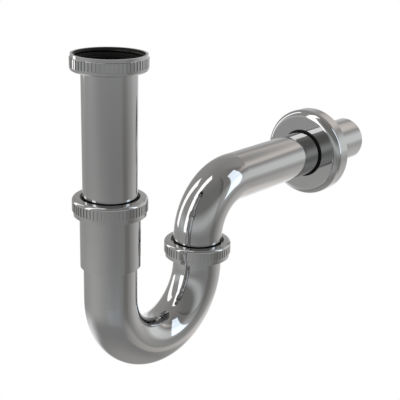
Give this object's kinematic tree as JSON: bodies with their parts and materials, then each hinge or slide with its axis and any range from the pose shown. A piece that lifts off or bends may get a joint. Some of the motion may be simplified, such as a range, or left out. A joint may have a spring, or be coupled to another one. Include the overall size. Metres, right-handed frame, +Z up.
{
  "type": "tubular drain trap",
  "caption": "Tubular drain trap: inlet tube with union nut, sliding socket joint, U-bend, swivelling outlet bend and tube, and a sliding wall rosette.",
  "frame": {"origin": "centre of the inlet nut's mouth", "axes": "+Z up, out of the inlet nut's mouth; +X along the outlet tube, towards the wall"},
  "size_m": [0.2799, 0.0634, 0.203],
  "materials": {
    "chrome": "polished plating on brass tube",
    "rubber": "matt black",
    "slip_plastic": "smooth black"
  },
  "bodies": {
    "inlet_union": {"inlet_nut": "chrome", "inlet_slip_ring": "slip_plastic"},
    "inlet_leg": {"inlet_tube": "chrome", "inlet_gasket": "rubber"},
    "trap": {"trap_bend": "chrome", "inlet_socket": "chrome", "socket_seal": "rubber", "outlet_ferrule": "chrome", "outlet_gasket": "rubber"},
    "socket_ring": {"socket_slip_ring": "slip_plastic"},
    "socket_slip_nut": {"socket_nut": "chrome"},
    "outlet": {"outlet_bend": "chrome"},
    "outlet_ring": {"outlet_slip_ring": "slip_plastic"},
    "outlet_union": {"outlet_nut": "chrome"},
    "rosette": {"wall_rosette": "chrome", "grip_ring": "rubber"}
  },
  "joints": [
    {"name": "inlet_swivel", "type": "hinge", "parent": "inlet_union", "child": "inlet_leg", "pos_m": [0, 0, 0], "axis": [0, 0, 1], "continuous": true},
    {"name": "height_slide", "type": "slide", "parent": "inlet_leg", "child": "trap", "axis": [0, 0, 1], "range_m": [-0.01, 0.01]},
    {"name": "socket_ring_lift", "type": "slide", "parent": "trap", "child": "socket_ring", "axis": [0, 0, 1], "range_m": [0, 0.00693]},
    {"name": "socket_nut_turn", "type": "hinge", "parent": "socket_ring", "child": "socket_slip_nut", "pos_m": [0, 0, -0.0875], "axis": [0, 0, 1], "range_deg": [0, 1080]},
    {"name": "outlet_swivel", "type": "hinge", "parent": "trap", "child": "outlet", "pos_m": [0.07944, 0, -0.1345], "axis": [0, 0, 1], "range_deg": [-135, 135]},
    {"name": "outlet_ring_lift", "type": "slide", "parent": "trap", "child": "outlet_ring", "axis": [0, 0, 1], "range_m": [0, 0.00693]},
    {"name": "outlet_nut_turn", "type": "hinge", "parent": "outlet_ring", "child": "outlet_union", "pos_m": [0.07944, 0, -0.1365], "axis": [0, 0, 1], "range_deg": [0, 1080]},
    {"name": "rosette_slide", "type": "slide", "parent": "outlet", "child": "rosette", "axis": [1, 0, 0], "range_m": [-0.075, 0.045]}
  ],
  "couplings": [
    {"joint": "socket_ring_lift", "follows": "socket_nut_turn", "m_per_rad": 0.00036749},
    {"joint": "outlet_ring_lift", "follows": "outlet_nut_turn", "m_per_rad": 0.00036749}
  ]
}
